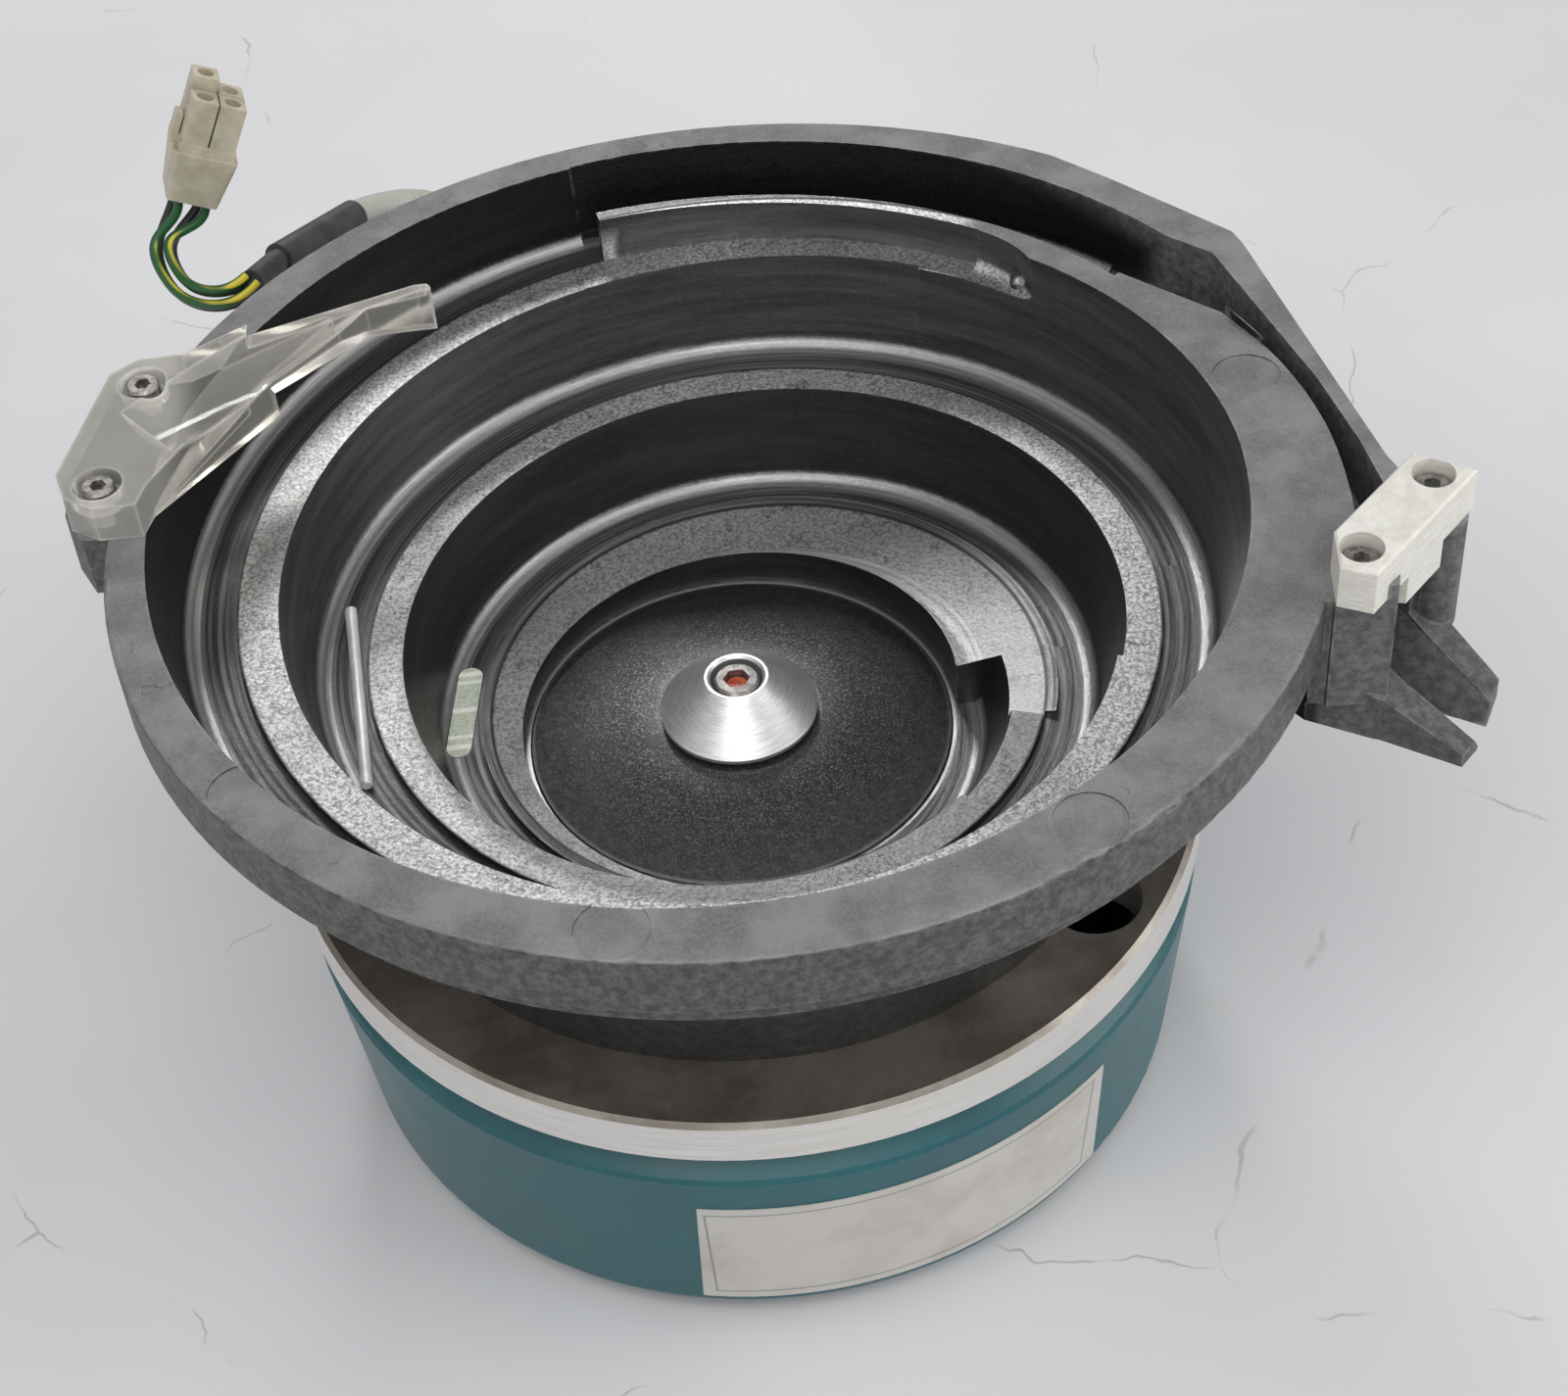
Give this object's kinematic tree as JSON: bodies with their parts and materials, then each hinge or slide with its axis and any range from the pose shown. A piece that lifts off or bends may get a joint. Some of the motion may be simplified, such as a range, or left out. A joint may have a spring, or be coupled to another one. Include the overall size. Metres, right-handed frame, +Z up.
{
  "type": "vibratory bowl feeder",
  "caption": "Tabletop vibratory parts feeder: cast bowl with a spiral track and side outlet, clamped on a leaf-sprung plate over a round electromagnet base.",
  "frame": {"origin": "the bowl's axis at the plane the rubber feet stand on", "axes": "+Z up along the bowl's axis; -Y toward the drum's labelled front; the outlet leaves toward +X and a little -Y"},
  "size_m": [0.2836, 0.283, 0.1827],
  "materials": {
    "cast_aluminium": "as-cast, worn and grimy in the grooves",
    "machined_plate": "face-turned, stained",
    "teal_paint": "satin paint",
    "turned_steel": "fine turned",
    "bright_steel": "ground pin",
    "dark_screw": "blackened, worn",
    "zinc_screw": "zinc plated",
    "zinc_steel": "zinc plated",
    "laminations": "stacked sheet edges",
    "coil_tape": "taped winding",
    "bobbin_plastic": "moulded",
    "glass_fibre": "cut laminate",
    "sealing_lacquer": "brushed dab",
    "reflective_film": "cellular film",
    "clear_acrylic": "clear, slightly yellowed",
    "white_nylon": "sawn and drilled",
    "milky_nylon": "moulded, translucent",
    "brass_contact": "pressed",
    "black_wire": "extruded insulation",
    "earth_wire": "green and yellow insulation",
    "grey_shrink": "heat-shrunk sleeve",
    "clear_tube": "translucent tube",
    "black_plastic": "moulded",
    "black_rubber": "moulded",
    "label_film": "printed film"
  },
  "bodies": {
    "base": {"base_housing": "teal_paint", "dust_seal": "black_rubber", "rubber_feet": "black_rubber", "foot_screws": "zinc_screw", "label": "label_film", "cable_gland": "black_plastic", "cable_tube": "clear_tube", "heat_shrink": "grey_shrink", "black_wire_a": "black_wire", "black_wire_b": "black_wire", "earth_wire_a": "earth_wire", "earth_wire_b": "earth_wire", "connector": "milky_nylon", "contacts": "brass_contact", "magnet_bracket": "zinc_steel", "bracket_screws": "zinc_screw", "core_screws": "zinc_screw", "magnet_core": "laminations", "bobbin": "bobbin_plastic", "coil": "coil_tape", "lower_blocks": "zinc_steel", "lower_bars": "zinc_steel", "lower_leaf_screws": "zinc_screw", "lower_screws": "zinc_screw"},
    "lift": {"armature": "laminations"},
    "bowl_unit": {"bowl": "cast_aluminium", "clamp_cone": "turned_steel", "clamp_screw": "dark_screw", "lacquer_dab": "sealing_lacquer", "reflector": "reflective_film", "guide": "clear_acrylic", "guide_screws": "dark_screw", "bridge_block": "white_nylon", "bridge_screws": "dark_screw", "top_plate": "machined_plate", "hub_screws": "zinc_screw", "upper_screws": "zinc_screw", "upper_blocks": "zinc_steel", "upper_bars": "zinc_steel", "upper_leaf_screws": "zinc_screw", "armature_block": "zinc_steel", "armature_screws": "zinc_screw"},
    "loose_pin": {"track_pin": "bright_steel"},
    "leaf_a": {"leaf_pack_a": "glass_fibre"},
    "leaf_b": {"leaf_pack_b": "glass_fibre"},
    "leaf_c": {"leaf_pack_c": "glass_fibre"}
  },
  "joints": [
    {"name": "bowl_lift", "type": "slide", "parent": "base", "child": "lift", "axis": [0, 0, 1], "range_m": [-0.0002, 0.0002]},
    {"name": "bowl_twist", "type": "hinge", "parent": "lift", "child": "bowl_unit", "pos_m": [0, 0, 0.06], "axis": [0, 0, 1], "range_deg": [-0.4, 0.4], "stiffness_Nm_per_rad": 600},
    {"name": "pin_lift_out", "type": "slide", "parent": "bowl_unit", "child": "loose_pin", "axis": [0, 0, 1], "range_m": [0, 0.08]},
    {"name": "leaf_a_flex", "type": "hinge", "parent": "base", "child": "leaf_a", "pos_m": [0.06241, 0.02217, 0.02246], "axis": [0.9114, 0.4115, 0], "range_deg": [-1, 1]},
    {"name": "leaf_b_flex", "type": "hinge", "parent": "base", "child": "leaf_b", "pos_m": [-0.0504, 0.04296, 0.02246], "axis": [-0.8121, 0.5835, 0], "range_deg": [-1, 1]},
    {"name": "leaf_c_flex", "type": "hinge", "parent": "base", "child": "leaf_c", "pos_m": [-0.012, -0.06513, 0.02246], "axis": [-0.0993, -0.9951, 0], "range_deg": [-1, 1]}
  ],
  "couplings": [
    {"joint": "bowl_lift", "follows": "bowl_twist", "m_per_rad": -0.024022},
    {"joint": "leaf_a_flex", "follows": "bowl_twist", "ratio": -2.1949},
    {"joint": "leaf_b_flex", "follows": "bowl_twist", "ratio": -2.1949},
    {"joint": "leaf_c_flex", "follows": "bowl_twist", "ratio": -2.1949}
  ]
}
